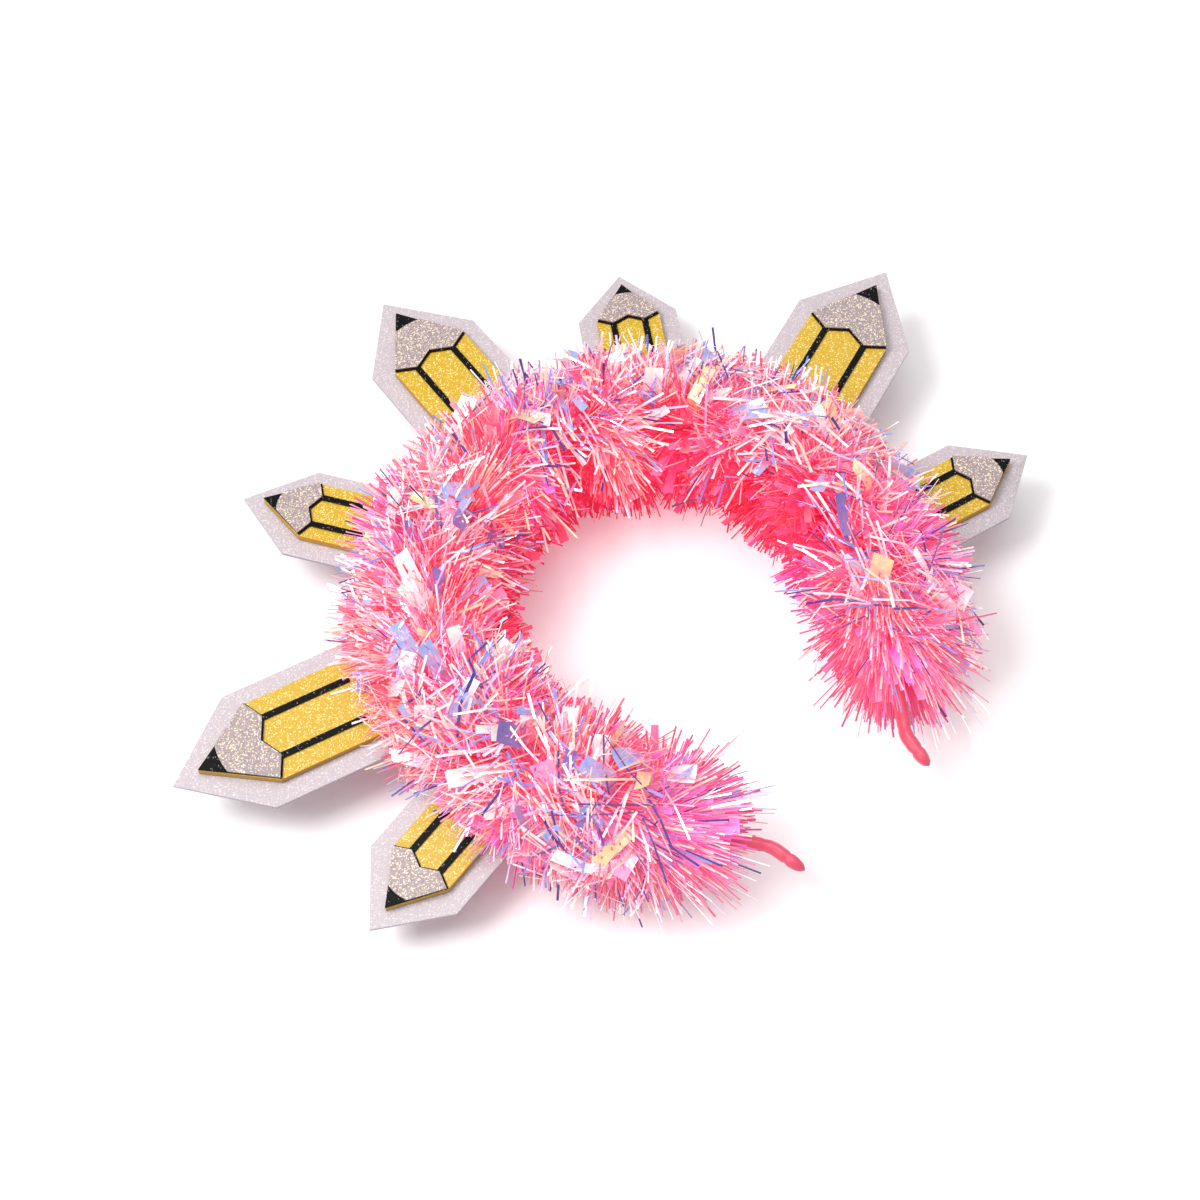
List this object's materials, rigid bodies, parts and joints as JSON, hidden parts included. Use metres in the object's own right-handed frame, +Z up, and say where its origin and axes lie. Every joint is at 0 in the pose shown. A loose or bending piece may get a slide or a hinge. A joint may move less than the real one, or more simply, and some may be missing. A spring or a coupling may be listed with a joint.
{
  "type": "pencil headband",
  "caption": "Bendable costume headband wound in pink tinsel, with flat layered glitter pencils fanned round its outside; lies on its side and opens between its two arms to take a head.",
  "frame": {"origin": "on the surface it lies on, under the middle of its box", "axes": "+Y towards the crown of the band, away from the mouth between its arms; +Z up, out of the face of the pencils"},
  "size_m": [0.2668, 0.2242, 0.0493],
  "materials": {
    "satin_ribbon": "coral satin ribbon, wound",
    "tinsel_film": "pink and iridescent film strips",
    "pale_glitter_sheet": "pale pearl glitter sheet",
    "black_glitter_sheet": "black glitter sheet",
    "yellow_glitter_foam": "yellow foam with a glitter face, cut edge plain",
    "wood_glitter_sheet": "pale wood-coloured glitter sheet"
  },
  "bodies": {
    "root": {"band_core": "satin_ribbon", "tinsel": "tinsel_film", "pencil_1_backing": "pale_glitter_sheet", "pencil_1_yellow": "yellow_glitter_foam", "pencil_1_black": "black_glitter_sheet", "pencil_1_wood": "wood_glitter_sheet", "pencil_2_backing": "pale_glitter_sheet", "pencil_2_yellow": "yellow_glitter_foam", "pencil_2_black": "black_glitter_sheet", "pencil_2_wood": "wood_glitter_sheet", "pencil_3_backing": "pale_glitter_sheet", "pencil_3_yellow": "yellow_glitter_foam", "pencil_3_black": "black_glitter_sheet", "pencil_3_wood": "wood_glitter_sheet", "pencil_4_backing": "pale_glitter_sheet", "pencil_4_yellow": "yellow_glitter_foam", "pencil_4_black": "black_glitter_sheet", "pencil_4_wood": "wood_glitter_sheet", "pencil_5_backing": "pale_glitter_sheet", "pencil_5_yellow": "yellow_glitter_foam", "pencil_5_black": "black_glitter_sheet", "pencil_5_wood": "wood_glitter_sheet", "pencil_6_backing": "pale_glitter_sheet", "pencil_6_yellow": "yellow_glitter_foam", "pencil_6_black": "black_glitter_sheet", "pencil_6_wood": "wood_glitter_sheet", "pencil_7_backing": "pale_glitter_sheet", "pencil_7_yellow": "yellow_glitter_foam", "pencil_7_black": "black_glitter_sheet", "pencil_7_wood": "wood_glitter_sheet"}
  },
  "joints": []
}
